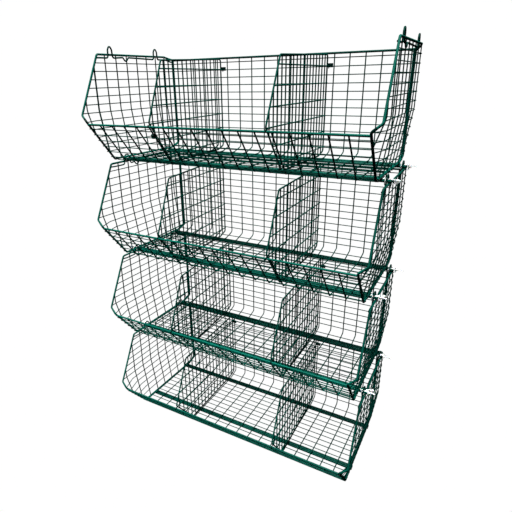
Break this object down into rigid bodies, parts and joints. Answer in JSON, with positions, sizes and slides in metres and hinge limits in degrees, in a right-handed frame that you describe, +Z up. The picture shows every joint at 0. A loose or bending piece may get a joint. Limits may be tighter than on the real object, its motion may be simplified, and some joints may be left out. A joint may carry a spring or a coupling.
{
  "type": "wire basket stack",
  "caption": "Stack of open-front welded wire display baskets with sloping lips, hooked lift-out wire dividers, stacking loops and cable ties, for goods on a market stall.",
  "frame": {"origin": "middle of the stack on the floor, under the centre of its outer box", "axes": "+X to the right seen from the front, the open front faces -Y, +Z up"},
  "size_m": [1.006, 0.4716, 1.4135],
  "materials": {
    "mesh_wire": "satin dark green coated wire",
    "frame_wire": "satin dark green coated wire, worn at the corners",
    "divider_wire": "satin dark green coated wire",
    "tie_nylon": "white nylon"
  },
  "bodies": {
    "stack": {"basket_1_back_mesh": "mesh_wire", "basket_1_floor_mesh": "mesh_wire", "basket_1_lip_mesh": "mesh_wire", "basket_1_back_rail": "frame_wire", "basket_1_lip_rail": "frame_wire", "basket_1_bearers": "frame_wire", "basket_1_side_frame_right": "frame_wire", "basket_1_side_frame_left": "frame_wire", "basket_1_side_mesh_right": "mesh_wire", "basket_1_side_mesh_left": "mesh_wire", "basket_1_stack_loops_right": "frame_wire", "basket_1_stack_loops_left": "frame_wire", "ties_1_2": "tie_nylon", "basket_2_back_mesh": "mesh_wire", "basket_2_floor_mesh": "mesh_wire", "basket_2_lip_mesh": "mesh_wire", "basket_2_back_rail": "frame_wire", "basket_2_lip_rail": "frame_wire", "basket_2_bearers": "frame_wire", "basket_2_side_frame_right": "frame_wire", "basket_2_side_frame_left": "frame_wire", "basket_2_side_mesh_right": "mesh_wire", "basket_2_side_mesh_left": "mesh_wire", "basket_2_stack_loops_right": "frame_wire", "basket_2_stack_loops_left": "frame_wire", "ties_2_3": "tie_nylon", "basket_3_back_mesh": "mesh_wire", "basket_3_floor_mesh": "mesh_wire", "basket_3_lip_mesh": "mesh_wire", "basket_3_back_rail": "frame_wire", "basket_3_lip_rail": "frame_wire", "basket_3_bearers": "frame_wire", "basket_3_side_frame_right": "frame_wire", "basket_3_side_frame_left": "frame_wire", "basket_3_side_mesh_right": "mesh_wire", "basket_3_side_mesh_left": "mesh_wire", "basket_3_stack_loops_right": "frame_wire", "basket_3_stack_loops_left": "frame_wire", "ties_3_4": "tie_nylon", "basket_4_back_mesh": "mesh_wire", "basket_4_floor_mesh": "mesh_wire", "basket_4_lip_mesh": "mesh_wire", "basket_4_back_rail": "frame_wire", "basket_4_lip_rail": "frame_wire", "basket_4_bearers": "frame_wire", "basket_4_side_frame_right": "frame_wire", "basket_4_side_frame_left": "frame_wire", "basket_4_side_mesh_right": "mesh_wire", "basket_4_side_mesh_left": "mesh_wire", "basket_4_stack_loops_right": "frame_wire", "basket_4_stack_loops_left": "frame_wire"},
    "divider_1_left": {"basket_1_divider_left": "divider_wire"},
    "divider_1_right": {"basket_1_divider_right": "divider_wire"},
    "divider_2_left": {"basket_2_divider_left": "divider_wire"},
    "divider_2_right": {"basket_2_divider_right": "divider_wire"},
    "divider_3_left": {"basket_3_divider_left": "divider_wire"},
    "divider_3_right": {"basket_3_divider_right": "divider_wire"},
    "divider_4_left": {"basket_4_divider_left": "divider_wire"},
    "divider_4_right": {"basket_4_divider_right": "divider_wire"}
  },
  "joints": [
    {"name": "divider_1_left_lift", "type": "slide", "parent": "stack", "child": "divider_1_left", "axis": [0, 0, 1], "range_m": [0, 0.015]},
    {"name": "divider_1_right_lift", "type": "slide", "parent": "stack", "child": "divider_1_right", "axis": [0, 0, 1], "range_m": [0, 0.015]},
    {"name": "divider_2_left_lift", "type": "slide", "parent": "stack", "child": "divider_2_left", "axis": [0, 0, 1], "range_m": [0, 0.015]},
    {"name": "divider_2_right_lift", "type": "slide", "parent": "stack", "child": "divider_2_right", "axis": [0, 0, 1], "range_m": [0, 0.015]},
    {"name": "divider_3_left_lift", "type": "slide", "parent": "stack", "child": "divider_3_left", "axis": [0, 0, 1], "range_m": [0, 0.015]},
    {"name": "divider_3_right_lift", "type": "slide", "parent": "stack", "child": "divider_3_right", "axis": [0, 0, 1], "range_m": [0, 0.015]},
    {"name": "divider_4_left_lift", "type": "slide", "parent": "stack", "child": "divider_4_left", "axis": [0, 0, 1], "range_m": [0, 0.015]},
    {"name": "divider_4_right_lift", "type": "slide", "parent": "stack", "child": "divider_4_right", "axis": [0, 0, 1], "range_m": [0, 0.015]}
  ]
}
